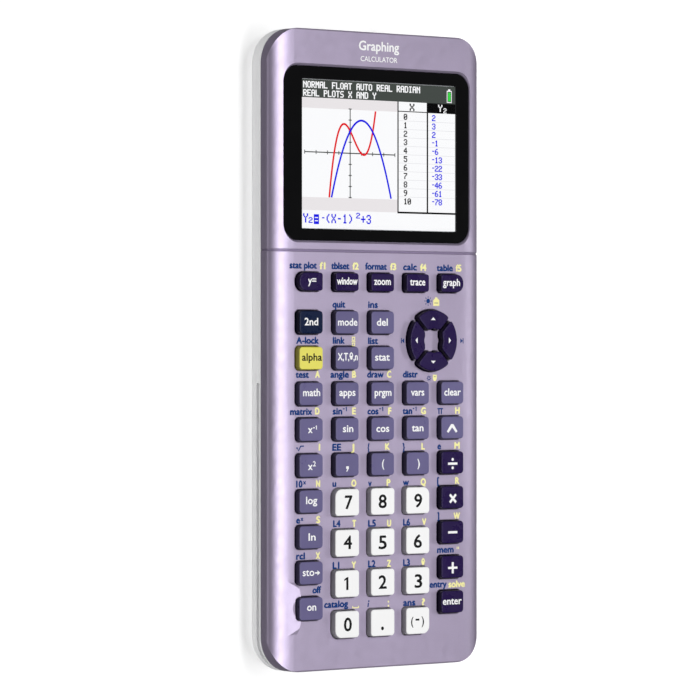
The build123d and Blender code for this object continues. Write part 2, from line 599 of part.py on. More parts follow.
# ---- rubber key mat: one sheet, one dome under each key -----------------------------
with BuildPart() as key_membrane:
    with BuildSketch(Plane.XY.offset(BOARD_TOP)):
        with Locations((0, -29.1)):
            RectangleRounded(65.0, 111.0, 4)
    extrude(amount=MAT_TOP - BOARD_TOP)
    for name in centres:
        with BuildSketch(Plane.XY.offset(MAT_TOP)):
            with Locations(centres[name]):
                Circle(1.9 if name in dict(ARROWS) else 2.3)
        extrude(amount=DOME_TOP - MAT_TOP, taper=22)
key_membrane.part.label = "key_membrane"
export_step(key_membrane.part, "parts/key_membrane.step")

# ---- case screws and feet -----------------------------------------------------------
with BuildPart() as case_screws:
    with BuildSketch(Plane.XY.offset(1.3)):
        with Locations(*BOSSES):
            Circle(1.8)
    extrude(amount=1.1)
    with BuildSketch(Plane.XY.offset(2.4)):
        with Locations(*BOSSES):
            Circle(0.98)
    extrude(amount=7.8)
    for bx, by in BOSSES:
        with BuildSketch(Plane.XY.offset(1.2)):
            with Locations((bx, by)):
                Rectangle(2.6, 0.55)
                Rectangle(0.55, 2.6)
        extrude(amount=0.6, mode=Mode.SUBTRACT)
case_screws.part.label = "case_screws"
export_step(case_screws.part, "parts/case_screws.step")

with BuildPart() as rubber_feet:
    with BuildSketch(Plane.XY):
        with Locations(*FEET):
            Circle(FOOT_R)
    extrude(amount=REAR_Z + 0.5)
    fillet(rubber_feet.faces().group_by(Axis.Z)[0].edges(), 0.25)
rubber_feet.part.label = "rubber_feet"
export_step(rubber_feet.part, "parts/rubber_feet.step")
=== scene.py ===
import json
import math

import bpy
from mathutils import Matrix, Vector


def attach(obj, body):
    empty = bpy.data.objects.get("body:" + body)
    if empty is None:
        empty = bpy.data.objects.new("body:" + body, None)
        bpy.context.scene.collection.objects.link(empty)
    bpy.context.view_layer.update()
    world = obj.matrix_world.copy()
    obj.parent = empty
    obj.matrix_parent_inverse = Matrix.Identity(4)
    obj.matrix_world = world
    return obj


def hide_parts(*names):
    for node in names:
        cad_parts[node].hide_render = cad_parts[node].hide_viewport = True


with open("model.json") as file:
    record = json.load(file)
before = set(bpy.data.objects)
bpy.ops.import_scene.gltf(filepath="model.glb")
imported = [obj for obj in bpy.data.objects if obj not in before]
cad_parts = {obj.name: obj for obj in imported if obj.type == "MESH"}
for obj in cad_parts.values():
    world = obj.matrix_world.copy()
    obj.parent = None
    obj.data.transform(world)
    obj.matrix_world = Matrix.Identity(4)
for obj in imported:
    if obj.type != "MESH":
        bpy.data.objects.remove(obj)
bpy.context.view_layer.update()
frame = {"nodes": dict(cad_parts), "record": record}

MM = 0.001
nodes = frame["nodes"]


# ---------------------------------------------------------------- node helpers
def srgb(r, g, b):
    return tuple((c / 255 / 12.92 if c / 255 <= 0.04045 else ((c / 255 + 0.055) / 1.055) ** 2.4) for c in (r, g, b))


def new_mat(name):
    m = bpy.data.materials.new(name)
    m.use_nodes = True
    nt = m.node_tree
    b = nt.nodes["Principled BSDF"]
    return m, nt, b


def noise(nt, scale, detail=3.0, rough=0.55, coord="Object", stretch=(1, 1, 1)):
    tc = nt.nodes.new("ShaderNodeTexCoord")
    mp = nt.nodes.new("ShaderNodeMapping")
    mp.inputs["Scale"].default_value = stretch
    n = nt.nodes.new("ShaderNodeTexNoise")
    n.inputs["Scale"].default_value = scale
    n.inputs["Detail"].default_value = detail
    n.inputs["Roughness"].default_value = rough
    nt.links.new(tc.outputs[coord], mp.inputs["Vector"])
    nt.links.new(mp.outputs["Vector"], n.inputs["Vector"])
    return n.outputs["Fac"]


def ramp(nt, fac, stops):
    r = nt.nodes.new("ShaderNodeValToRGB")
    els = r.color_ramp.elements
    while len(els) < len(stops):
        els.new(0.5)
    for e, (p, c) in zip(els, stops):
        e.position = p
        e.color = (*c, 1) if len(c) == 3 else c
    nt.links.new(fac, r.inputs["Fac"])
    return r.outputs["Color"]


def maprange(nt, fac, a, b, c, d):
    m = nt.nodes.new("ShaderNodeMapRange")
    m.inputs["From Min"].default_value = a
    m.inputs["From Max"].default_value = b
    m.inputs["To Min"].default_value = c
    m.inputs["To Max"].default_value = d
    nt.links.new(fac, m.inputs["Value"])
    return m.outputs["Result"]


def bump(nt, b, height, strength, distance):
    n = nt.nodes.new("ShaderNodeBump")
    n.inputs["Strength"].default_value = strength
    n.inputs["Distance"].default_value = distance
    nt.links.new(height, n.inputs["Height"])
    nt.links.new(n.outputs["Normal"], b.inputs["Normal"])
    return n


def plastic(name, base, rough, vary=0.04, grain=9000, grain_depth=0.00001, coat=0.0, coat_rough=0.1, rough_vary=0.05,
            metal=0.0, spec=0.5, wall_shade=1.0):
    """Moulded or painted surface: faint large-scale colour drift, fine moulded grain, uneven gloss.
    A wall shade below 1 paints shade on the upright sides: the base colour is darkened where the normal is near level,
    standing in for the shadow on a key's walls in its opening."""
    m, nt, b = new_mat(name)
    lo = tuple(max(c * (1 - vary), 0) for c in base)
    hi = tuple(min(c * (1 + vary), 1) for c in base)
    col = ramp(nt, noise(nt, 60, 3), [(0.3, lo), (0.7, hi)])
    # painted shade: upright faces get a darker base colour from their normal, in place of shadow cast by the lighting
    if wall_shade < 1:
        geo = nt.nodes.new("ShaderNodeNewGeometry")
        sep = nt.nodes.new("ShaderNodeSeparateXYZ")
        nt.links.new(geo.outputs["Normal"], sep.inputs[0])
        fac = maprange(nt, sep.outputs["Z"], 0.25, 0.85, wall_shade, 1.0)
        shade_scale = nt.nodes.new("ShaderNodeVectorMath")
        shade_scale.operation = "SCALE"
        nt.links.new(col, shade_scale.inputs[0])
        nt.links.new(fac, shade_scale.inputs["Scale"])
        col = shade_scale.outputs["Vector"]
    nt.links.new(col, b.inputs["Base Color"])
    nt.links.new(maprange(nt, noise(nt, 220, 4), 0.3, 0.7, rough - rough_vary, rough + rough_vary), b.inputs["Roughness"])
    b.inputs["Metallic"].default_value = metal
    b.inputs["Specular IOR Level"].default_value = spec
    b.inputs["Coat Weight"].default_value = coat
    b.inputs["Coat Roughness"].default_value = coat_rough
    bump(nt, b, noise(nt, grain, 2), 0.25, grain_depth)
    m.diffuse_color = (*base, 1)
    return m


# metallic lavender lacquer: flakes too fine to tell apart, under a satin clear coat
def paint():
    m, nt, b = new_mat("shell_paint")
    base = srgb(175, 163, 189)
    lo = tuple(c * 0.93 for c in base)
    hi = tuple(min(c * 1.07, 1) for c in base)
    flake = noise(nt, 5200, 2, 0.7)
    drift = noise(nt, 25, 2)
    mix = nt.nodes.new("ShaderNodeMath")
    mix.operation = "ADD"
    half = nt.nodes.new("ShaderNodeMath")
    half.operation = "MULTIPLY"
    half.inputs[1].default_value = 0.5
    nt.links.new(flake, mix.inputs[0])
    nt.links.new(drift, mix.inputs[1])
    nt.links.new(mix.outputs[0], half.inputs[0])
    nt.links.new(ramp(nt, half.outputs[0], [(0.34, lo), (0.66, hi)]), b.inputs["Base Color"])
    nt.links.new(maprange(nt, noise(nt, 400, 4), 0.3, 0.7, 0.39, 0.46), b.inputs["Roughness"])
    b.inputs["Metallic"].default_value = 0.68
    b.inputs["Coat Weight"].default_value = 0.38
    b.inputs["Coat Roughness"].default_value = 0.27
    bump(nt, b, flake, 0.10, 0.00001)
    return m


MATS = {
    "shell_paint": paint(),
    "rear_plastic": plastic("rear_plastic", srgb(250, 250, 251), 0.34, vary=0.004, grain_depth=0.0000015,
                            rough_vary=0.015),
    "pack_wrap": plastic("pack_wrap", (0.02, 0.02, 0.024), 0.55),
    "window_black": plastic("window_black", (0.003, 0.003, 0.0034), 0.12, vary=0.1, grain=2000, grain_depth=0.000001,
                            rough_vary=0.03, spec=0.25),
    "lcd_tray": plastic("lcd_tray", (0.62, 0.64, 0.66), 0.5),
    "board_green": plastic("board_green", (0.012, 0.13, 0.045), 0.4, vary=0.2, grain=1500),
    "mat_rubber": plastic("mat_rubber", (0.4, 0.4, 0.42), 0.75, grain=4000),
    "screw_steel": plastic("screw_steel", (0.2, 0.2, 0.21), 0.32, metal=1.0, vary=0.15, grain=3000),
    "foot_rubber": plastic("foot_rubber", srgb(128, 128, 134), 0.85, grain=5000, grain_depth=0.00003),
    # key materials: the wall shade factor paints shade onto the upright sides of every key
    "key_dark": plastic("key_dark", srgb(33, 13, 70), 0.28, vary=0.08, grain=7000, grain_depth=0.000004, spec=0.25, wall_shade=0.35),
    "key_slate": plastic("key_slate", srgb(105, 99, 141), 0.32, vary=0.06, grain=7000, grain_depth=0.000004, spec=0.3, wall_shade=0.3),
    "key_white": plastic("key_white", srgb(253, 253, 253), 0.4, vary=0.006, grain=7000, grain_depth=0.000015, wall_shade=0.55),
    "key_blue": plastic("key_blue", srgb(2, 22, 58), 0.28, vary=0.08, grain=7000, grain_depth=0.000004, spec=0.25, wall_shade=0.35),
    "key_yellow": plastic("key_yellow", srgb(232, 224, 92), 0.42, vary=0.04, grain=7000, grain_depth=0.000015, wall_shade=0.5),
}
slots = {s["node"]: s["material_slot"] for s in frame["record"]["subparts"]}
for name, o in nodes.items():
    mat = MATS[slots[name]]
    if not o.data.materials:
        o.data.materials.append(mat)
    for i in range(len(o.data.materials)):
        o.data.materials[i] = mat


def ink(name, rgb, rough=0.5):
    return plastic(name, rgb, rough, vary=0.03, grain=6000, grain_depth=0.000002, spec=0.1)


INK = {
    "white": ink("ink_white", srgb(252, 252, 253)),
    "black": ink("ink_black", (0.006, 0.006, 0.007)),
    "blue": ink("ink_blue", srgb(6, 56, 122)),
    "cream": ink("ink_cream", srgb(255, 247, 172)),
}


# ---------------------------------------------------------------- shapes in mm
class Shape:
    """Thin closed solids gathered into one mesh, in millimetres."""

    def __init__(self):
        self.v, self.f, self.m, self.mats = [], [], [], []

    def slot(self, mat):
        if mat not in self.mats:
            self.mats.append(mat)
        return self.mats.index(mat)

    def add(self, verts, faces, mat):
        k, n = self.slot(mat), len(self.v)
        self.v += [tuple(p) for p in verts]
        self.f += [tuple(i + n for i in f) for f in faces]
        self.m += [k] * len(faces)

    def prism(self, pts, z0, z1, mat):
        """A polygon (counter-clockwise, convex or not) stood up between two heights."""
        n = len(pts)
        verts = [(x, y, z0) for x, y in pts] + [(x, y, z1) for x, y in pts]
        faces = [tuple(range(n - 1, -1, -1)), tuple(range(n, 2 * n))]
        faces += [(i, (i + 1) % n, n + (i + 1) % n, n + i) for i in range(n)]
        self.add(verts, faces, mat)

    def box(self, x0, y0, x1, y1, z0, z1, mat):
        self.prism([(x0, y0), (x1, y0), (x1, y1), (x0, y1)], z0, z1, mat)

    def ring(self, outer, inner, z0, z1, mat):
        n = len(outer)
        verts = [(x, y, z0) for x, y in outer] + [(x, y, z0) for x, y in inner] \
            + [(x, y, z1) for x, y in outer] + [(x, y, z1) for x, y in inner]
        faces = []
        for i in range(n):
            j = (i + 1) % n
            faces += [(i, j, 2 * n + j, 2 * n + i), (n + j, n + i, 3 * n + i, 3 * n + j),
                      (2 * n + i, 2 * n + j, 3 * n + j, 3 * n + i), (j, i, n + i, n + j)]
        self.add(verts, faces, mat)

    def stroke(self, pts, width, z0, z1, mat):
        """A line of even width through points, with mitred joints."""
        left, right = [], []
        for i, (x, y) in enumerate(pts):
            ax, ay = pts[max(i - 1, 0)]
            bx, by = pts[min(i + 1, len(pts) - 1)]
            dx, dy = bx - ax, by - ay
            d = math.hypot(dx, dy) or 1
            nx, ny = -dy / d * width / 2, dx / d * width / 2
            left.append((x + nx, y + ny))
            right.append((x - nx, y - ny))
        n = len(pts)
        verts = [(x, y, z0) for x, y in left] + [(x, y, z0) for x, y in right] \
            + [(x, y, z1) for x, y in left] + [(x, y, z1) for x, y in right]
        faces = []
        for i in range(n - 1):
            j = i + 1
            faces += [(3 * n + i, 3 * n + j, 2 * n + j, 2 * n + i), (i, j, n + j, n + i),
                      (2 * n + i, 2 * n + j, j, i), (n + i, n + j, 3 * n + j, 3 * n + i)]
        faces += [(0, n, 3 * n, 2 * n), (2 * n - 1, n - 1, 3 * n - 1, 4 * n - 1)]
        self.add(verts, faces, mat)

    def build(self, name, body, slot=None):
        me = bpy.data.meshes.new(name)
        me.from_pydata([(x * MM, y * MM, z * MM) for x, y, z in self.v], [], self.f)
        for mat in self.mats:
            me.materials.append(mat)
        me.polygons.foreach_set("material_index", self.m)
        me.validate()
        me.update()
        o = bpy.data.objects.new(name, me)
        bpy.context.scene.collection.objects.link(o)
        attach(o, body)
        return o


_glyphs = {}


def glyph_mesh(body):
    """Flat lettering of the built-in font at size 1, as vertices and faces, standing 1 high."""
    if body not in _glyphs:
        c = bpy.data.curves.new("t", "FONT")
        c.body = body
        c.size = 1.0
        c.extrude = 0.5
        c.resolution_u = 3
        o = bpy.data.objects.new("t", c)
        bpy.context.scene.collection.objects.link(o)
        dg = bpy.context.evaluated_depsgraph_get()
        dg.update()
        e = o.evaluated_get(dg)
        me = e.to_mesh()
        vs = [tuple(v.co) for v in me.vertices]
        fs = [tuple(p.vertices) for p in me.polygons]
        e.to_mesh_clear()
        bpy.data.objects.remove(o)
        bpy.data.curves.remove(c)
        _glyphs[body] = (vs, fs)
    return _glyphs[body]


ONE = [(0.30, 0.0), (0.30, 0.682), (0.215, 0.682), (0.06, 0.575), (0.06, 0.475), (0.185, 0.55), (0.185, 0.0)]


def lettering(shape, text, x, y, z, size, mat, align="c", bold=0.02, squeeze=1.0, thick=0.02):
    """Text with its baseline at y; x is its middle, left or right end. Bold lays three copies a little apart."""
    if text == "1":
        pts = [((px - 0.18) * size * squeeze + x + (bold * size if px > 0.2 else -bold * size * 0.5), py * size + y)
               for px, py in ONE]
        shape.prism(pts, z - thick / 2, z + thick / 2, mat)
        return
    vs, fs = glyph_mesh(text)
    x0, x1 = min(v[0] for v in vs), max(v[0] for v in vs)
    w = (x1 - x0) * size * squeeze
    left = {"c": x - w / 2, "l": x, "r": x - w}[align]
    b = bold * size
    shifts = [(0, 0)] if bold == 0 else [(-b, -b * 0.5), (b, -b * 0.5), (0, b)]
    for k, (sx, sy) in enumerate(shifts):
        shape.add([(left + sx + (vx - x0) * size * squeeze, y + sy + vy * size, z + vz * thick + 0.0006 * k)
                   for vx, vy, vz in vs], fs, mat)


# ---------------------------------------------------------------- key legends
KEY_TOP = 15.2
FACE_Z = 13.3


def fitted(sh, text, x0, x1, y, z, size, mat, bold=0.015, thick=0.02):
    """Lettering drawn out or squeezed to fill the width between x0 and x1."""
    if text == "1":
        lettering(sh, text, (x0 + x1) / 2, y, z, size, mat, "c", 0.02, 1.0, thick)
        return
    vs, _ = glyph_mesh(text)
    natural = (max(v[0] for v in vs) - min(v[0] for v in vs)) * size
    b = bold * size
    lettering(sh, text, x0 + b, y, z, size, mat, "l", bold, (x1 - x0 - 2 * b) / natural, thick)


def disc(sh, cx, cy, r, z0, z1, mat, n=20):
    sh.prism([(cx + r * math.cos(2 * math.pi * i / n), cy + r * math.sin(2 * math.pi * i / n)) for i in range(n)], z0, z1, mat)


# node: (legend, left end, right end, baseline), in millimetres on the key top
TEXT = {
    "key_y_equals": ("y=", -28.49, -25.38, 19.49), "key_window": ("window", -17.58, -9.8, 19.41),
    "key_zoom": ("zoom", -3.48, 2.99, 19.43), "key_trace": ("trace", 10.44, 16.42, 19.42),
    "key_graph": ("graph", 23.38, 30.11, 19.4), "key_second": ("2nd", -29.8, -24.67, 7.25),
    "key_mode": ("mode", -17.21, -9.8, 7.21), "key_delete": ("del", -2.41, 1.83, 7.23),
    "key_alpha": ("alpha", -30.74, -23.24, -3.18), "key_variable": ("X,T,θ,n", -17.32, -9.68, -3.09),
    "key_stat": ("stat", -3.1, 2.6, -3.2), "key_math": ("math", -30.36, -23.92, -13.62),
    "key_apps": ("apps", -16.71, -10.56, -13.66), "key_program": ("prgm", -3.25, 3.26, -13.75),
    "key_vars": ("vars", 10.83, 16.03, -13.76), "key_clear": ("clear", 23.85, 30.43, -13.82),
    "key_sin": ("sin", -15.39, -11.4, -24.4), "key_cos": ("cos", -2.6, 2.41, -24.51),
    "key_tan": ("tan", 11.14, 15.71, -24.5), "key_log": ("log", -29.24, -25.01, -45.42),
    "key_ln": ("ln", -28.31, -25.61, -56.22), "key_on": ("on", -28.87, -25.42, -76.87),
    "key_enter": ("enter", 23.3, 30.79, -77.15), "key_7": ("7", -14.74, -11.78, -47.21),
    "key_8": ("8", -1.83, 1.33, -47.23), "key_9": ("9", 12.0, 15.12, -47.33),
    "key_4": ("4", -15.2, -11.97, -59.11), "key_5": ("5", -1.83, 1.33, -59.49),
    "key_6": ("6", 11.8, 15.01, -59.52), "key_1": ("1", -15.12, -13.19, -71.31),
    "key_2": ("2", -1.83, 1.33, -71.38), "key_3": ("3", 12.12, 15.12, -71.56),
    "key_0": ("0", -15.08, -12.04, -83.48),
}
LEG_Z = KEY_TOP + 0.004


def drawn_symbol(sh, name, mat, z):
    """Operators and marks made of strokes."""
    z0, z1 = z - 0.01, z + 0.01
    if name == "key_plus":
        cx, cy = 27.23, -66.03
        sh.box(cx - 1.85, cy - 0.34, cx + 1.85, cy + 0.34, z0, z1, mat)
        sh.box(cx - 0.4, cy + 0.34, cx + 0.4, cy + 1.72, z0, z1, mat)
        sh.box(cx - 0.4, cy - 1.72, cx + 0.4, cy - 0.34, z0, z1, mat)
    elif name == "key_minus":
        sh.box(25.4, -55.6, 29.05, -54.9, z0, z1, mat)
    elif name == "key_multiply":
        cx, cy = 27.3, -45.0
        sh.stroke([(cx - 1.2, cy - 1.2), (cx + 1.2, cy + 1.2)], 0.8, z0, z1, mat)
        sh.stroke([(cx - 1.2, cy + 1.2), (cx + 1.2, cy - 1.2)], 0.8, z0, z1 + 0.003, mat)
    elif name == "key_divide":
        cx, cy = 27.2, -34.45
        sh.box(cx - 1.85, cy - 0.36, cx + 1.85, cy + 0.36, z0, z1, mat)
        disc(sh, cx, cy + 1.27, 0.46, z0, z1, mat)
        disc(sh, cx, cy - 1.27, 0.46, z0, z1, mat)
    elif name == "key_point":
        disc(sh, -0.22, -83.2, 0.55, z0, z1, mat)
    elif name == "key_power":
        cx, cy = 27.0, -23.7
        sh.prism([(cx - 2.1, cy - 0.95), (cx - 1.5, cy - 1.4), (cx, cy + 0.25), (cx + 1.5, cy - 1.4),
                  (cx + 2.1, cy - 0.95), (cx + 0.45, cy + 1.25), (cx - 0.45, cy + 1.25)], z0, z1, mat)
    elif name == "key_store":
        fitted(sh, "sto", -30.5, -26.15, -66.55, z, 3.15, mat)
        sh.box(-25.87, -65.98, -24.9, -65.55, z0, z1, mat)
        sh.prism([(-24.95, -66.5), (-23.95, -65.76), (-24.95, -65.02)], z0, z1, mat)
    elif name == "key_inverse":
        fitted(sh, "x", -28.5, -26.75, -24.46, z, 3.2, mat, 0.025)
        sh.box(-26.6, -23.1, -25.95, -22.8, z0, z1, mat)
        lettering(sh, "1", -25.45, -23.5, z, 1.8, mat, "c", 0.03)
    elif name == "key_square":
        fitted(sh, "x", -28.5, -26.75, -35.33, z, 3.2, mat, 0.025)
        fitted(sh, "2", -26.7, -25.55, -34.3, z, 2.15, mat, 0.02)
    elif name == "key_comma":
        sh.prism([(-14.1, -36.1), (-13.75, -36.1), (-13.1, -35.2), (-13.1, -34.5),
                  (-14.1, -34.5), (-14.1, -35.3), (-13.65, -35.3)], z0, z1, mat)
    elif name == "key_negate":
        fitted(sh, "(", 10.85, 11.8, -82.7, z, 3.5, mat, 0.015)
        fitted(sh, ")", 14.95, 15.9, -82.7, z, 3.5, mat, 0.015)
        sh.box(12.6, -81.45, 14.1, -80.9, z0, z1, mat)
    elif name == "key_open_paren":
        fitted(sh, "(", -0.45, 0.5, -35.0, z, 3.3, mat, 0.02)
    elif name == "key_close_paren":
        fitted(sh, ")", 13.3, 14.25, -35.1, z, 3.3, mat, 0.02)
    else:
        return False
    return True


for name in nodes:
    if not name.startswith("key_") or name == "key_membrane":
        continue
    mat = INK["black"] if slots[name] == "key_white" or name == "key_alpha" else INK["white"]
    sh = Shape()
    if name in ("key_up", "key_down", "key_left", "key_right"):
        ang = {"key_right": 0, "key_up": 90, "key_left": 180, "key_down": 270}[name]
        px, py = 19.55, 2.9
        t = math.radians(ang)
        pts = [(px + x * math.cos(t) - y * math.sin(t), py + x * math.sin(t) + y * math.cos(t))
               for x, y in [(6.15, -0.9), (7.0, 0.0), (6.15, 0.9)]]
        sh.prism(pts, LEG_Z - 0.01, LEG_Z + 0.01, mat)
    elif name in TEXT:
        t, x0, x1, y = TEXT[name]
        if len(t) == 1 and t.isdigit():
            fitted(sh, t, x0 + 0.1, x1 + 0.1, y + 0.05, LEG_Z, 5.65, mat, 0.024)
        else:
            fitted(sh, t, x0, x1, y + 0.05, LEG_Z, 3.1, mat, 0.025)
    else:
        assert drawn_symbol(sh, name, mat, LEG_Z), name
    sh.build("legend_" + name[4:], name)

# ---------------------------------------------------------------- legends on the case
# (legend, left end, right end, baseline, ink), in millimetres on the face
CASE = [
    ("stat plot", -33.92, -23.63, 24.0, "blue"), ("f1", -22.69, -20.42, 23.89, "cream"),
    ("tblset", -18.35, -11.32, 23.97, "blue"), ("f2", -10.26, -7.77, 23.92, "cream"),
    ("format", -5.4, 3.07, 23.99, "blue"), ("f3", 4.23, 6.67, 23.95, "cream"),
    ("calc", 9.28, 14.74, 23.97, "blue"), ("f4", 15.92, 18.47, 23.89, "cream"),
    ("table", 22.4, 28.93, 23.87, "blue"), ("f5", 29.93, 32.32, 23.85, "cream"),
    ("quit", -17.85, -12.85, 12.56, "blue"), ("ins", -4.25, -0.4, 12.56, "blue"),
    ("A-lock", -31.49, -22.87, 1.83, "blue"), ("link", -17.7, -13.04, 1.84, "blue"),
    ("list", -4.25, -0.33, 1.76, "blue"), ("test", -31.68, -26.63, -8.25, "blue"),
    ("A", -24.38, -22.5, -8.22, "cream"), ("angle", -18.61, -11.51, -8.26, "blue"),
    ("B", -10.37, -8.77, -8.28, "cream"), ("draw", -4.63, 1.83, -8.29, "blue"), ("C", 2.99, 4.77, -8.31, "cream"),
    ("distr", 9.16, 15.13, -8.31, "blue"), ("matrix", -33.73, -25.39, -19.16, "blue"),
    ("D", -24.38, -22.65, -19.1, "cream"), ("sin", -17.78, -14.06, -19.18, "blue"),
    ("E", -10.37, -8.84, -19.21, "cream"), ("cos", -4.52, -0.17, -19.28, "blue"),
    ("F", 3.46, 4.85, -19.32, "cream"), ("tan", 9.08, 12.9, -19.33, "blue"), ("G", 16.23, 18.27, -19.39, "cream"),
    ("H", 29.73, 31.64, -19.4, "cream"), ("I", -22.99, -22.42, -29.79, "cream"),
    ("EE", -17.89, -14.44, -29.92, "blue"), ("J", -10.75, -9.46, -29.99, "cream"),
    ("{", -4.48, -3.64, -29.99, "blue"), ("K", 2.3, 4.19, -29.98, "cream"), ("}", 9.08, 10.06, -30.14, "blue"),
    ("L", 16.43, 17.84, -30.11, "cream"), ("e", 22.72, 24.26, -30.11, "blue"),
    ("M", 29.45, 31.64, -30.04, "cream"), ("10", -31.49, -29.03, -40.54, "blue"),
    ("N", -24.0, -22.42, -40.52, "cream"), ("u", -17.85, -16.34, -40.62, "blue"),
    ("O", -10.68, -8.69, -40.68, "cream"), ("v", -4.25, -2.79, -40.75, "blue"),
    ("P", 2.88, 4.46, -40.79, "cream"), ("w", 9.2, 11.62, -40.78, "blue"), ("Q", 16.11, 18.27, -40.83, "cream"),
    ("[", 22.6, 23.51, -40.59, "blue"), ("R", 29.73, 31.52, -40.75, "cream"),
    ("e", -31.49, -29.93, -51.14, "blue"), ("S", -24.0, -22.39, -51.22, "cream"),
    ("L4", -17.59, -14.75, -52.57, "blue"), ("T", -10.29, -8.77, -52.72, "cream"),
    ("L5", -4.25, -1.17, -52.82, "blue"), ("U", 3.07, 4.66, -52.94, "cream"), ("L6", 9.28, 12.08, -52.85, "blue"),
    ("V", 16.7, 18.39, -52.89, "cream"), ("]", 22.68, 23.51, -51.19, "blue"),
    ("W", 29.13, 31.72, -51.44, "cream"), ("rcl", -31.49, -28.13, -61.77, "blue"),
    ("X", -24.19, -22.42, -61.84, "cream"), ("L1", -17.78, -15.13, -64.97, "blue"),
    ("Y", -10.56, -8.81, -65.02, "cream"), ("L2", -4.25, -1.33, -64.95, "blue"),
    ("Z", 2.99, 4.62, -65.05, "cream"), ("L3", 9.28, 12.01, -64.98, "blue"), ("θ", 16.43, 17.88, -65.11, "cream"),
    ("mem", 22.6, 29.25, -61.52, "blue"), ("off", -25.39, -22.01, -71.96, "blue"),
    ("catalog", -20.99, -11.82, -76.45, "blue"), ("ans", 9.28, 14.15, -77.03, "blue"),
    ("?", 16.58, 17.92, -77.1, "cream"), ("entry", 19.61, 26.48, -71.94, "blue"),
    ("solve", 27.03, 33.71, -72.12, "cream"),
]
case = Shape()
CZ = FACE_Z + 0.004
C0, C1 = CZ - 0.01, CZ + 0.01
for t, x0, x1, y, k in CASE:
    fitted(case, t, x0, x1, y + 0.08, CZ, 2.8, INK[k], 0.055)
blue, cream = INK["blue"], INK["cream"]
# raised x and -1
fitted(case, "x", -28.9, -27.7, -39.6, CZ, 1.9, blue, 0.05)
fitted(case, "x", -29.85, -28.7, -50.35, CZ, 1.9, blue, 0.05)
for x, y in ((-13.8, -17.75), (0.15, -17.85), (13.1, -17.9)):
    case.box(x - 0.05, y + 0.08, x + 0.58, y + 0.42, C0, C1, blue)
    lettering(case, "1", x + 1.15, y - 0.45, CZ, 1.9, blue, "c", 0.06, 0.9, 0.02)
# pi, root, space, colon, imaginary unit, quotation marks
case.box(22.75, -18.0, 24.95, -17.58, C0, C1, blue)
case.box(23.15, -19.4, 23.58, -18.0, C0, C1, blue)
case.box(24.1, -19.4, 24.53, -18.0, C0, C1, blue)
case.stroke([(-31.45, -28.95), (-31.05, -28.8), (-30.55, -29.7), (-29.75, -28.35), (-28.55, -28.35)], 0.42, C0, C1, blue)
case.box(-10.25, -76.95, -7.75, -76.65, C0, C1, cream)
case.box(-10.25, -76.65, -9.95, -76.25, C0, C1, cream)
case.box(-8.05, -76.65, -7.75, -76.25, C0, C1, cream)
disc(case, 3.6, -76.7, 0.3, C0, C1, cream)
disc(case, 3.6, -75.45, 0.3, C0, C1, cream)
case.prism([(-4.5, -76.75), (-4.05, -76.75), (-3.85, -75.5), (-4.3, -75.5)], C0, C1, blue)
disc(case, -3.95, -75.0, 0.26, C0, C1, blue)
case.box(30.4, -60.55, 30.7, -59.8, C0, C1, cream)
case.box(31.0, -60.55, 31.3, -59.8, C0, C1, cream)
# brightness marks: sun and lamp above the arrows, hollow sun and lamp below
sx, sy = 19.1, 14.8
disc(case, sx, sy, 0.72, C0, C1, blue)
for i in range(8):
    a = math.pi * i / 4
    case.stroke([(sx + 1.0 * math.cos(a), sy + 1.0 * math.sin(a)), (sx + 1.45 * math.cos(a), sy + 1.45 * math.sin(a))],
                0.26, C0, C1, blue)
case.box(21.1, 13.35, 23.5, 15.0, C0, C1, cream)
case.prism([(21.1, 15.0), (23.5, 15.0), (22.9, 15.6), (21.7, 15.6)], C0, C1, cream)
case.box(21.9, 15.6, 22.7, 15.95, C0, C1, cream)
case.box(21.5, 14.15, 23.1, 14.3, C0, C1 + 0.008, blue)
sx, sy = 19.4, -8.55
case.ring([(sx + 0.62 * math.cos(math.pi * i / 8), sy + 0.62 * math.sin(math.pi * i / 8)) for i in range(16)],
          [(sx + 0.36 * math.cos(math.pi * i / 8), sy + 0.36 * math.sin(math.pi * i / 8)) for i in range(16)], C0, C1, blue)
for i in range(8):
    a = math.pi * i / 4
    case.stroke([(sx + 0.72 * math.cos(a), sy + 0.72 * math.sin(a)), (sx + 0.95 * math.cos(a), sy + 0.95 * math.sin(a))],
                0.18, C0, C1, blue)
case.box(20.95, -8.7, 22.5, -7.5, C0, C1, cream)
case.prism([(21.35, -9.4), (22.1, -9.4), (22.5, -8.7), (20.95, -8.7)], C0, C1, cream)
case.box(21.3, -8.15, 22.15, -8.02, C0, C1 + 0.008, blue)
# fraction template
case.ring([(-10.4, 2.75), (-9.2, 2.75), (-9.2, 3.95), (-10.4, 3.95)], [(-10.1, 3.05), (-9.5, 3.05), (-9.5, 3.65), (-10.1, 3.65)], C0, C1, cream)
case.ring([(-10.4, 1.15), (-9.2, 1.15), (-9.2, 2.2), (-10.4, 2.2)], [(-10.1, 1.42), (-9.5, 1.42), (-9.5, 1.93), (-10.1, 1.93)], C0, C1, cream)
case.box(-10.55, 2.36, -9.05, 2.6, C0, C1, cream)
# to either end of a line
for s, x in ((1, 8.5), (-1, 33.1)):
    case.box(min(x, x + s * 0.3), 2.0, max(x, x + s * 0.3), 3.6, C0, C1, blue)
    tri = [(x + s * 0.3, 2.8), (x + s * 1.25, 2.0), (x + s * 1.25, 3.6)]
    case.prism(tri if s > 0 else tri[::-1], C0, C1, blue)
# generic title
lettering(case, "Graphing", 0.0, 89.5, CZ, 4.0, INK["white"], "c", 0.025, 1.05)
lettering(case, "CALCULATOR", 0.0, 86.2, CZ, 2.2, INK["white"], "c", 0.01, 1.0)
case.build("case_legends", "case")

# ---------------------------------------------------------------- display picture
LW, LH = 59.1, 43.97
LX, LY = 0.98, 58.04
SCREEN_Z = 12.41


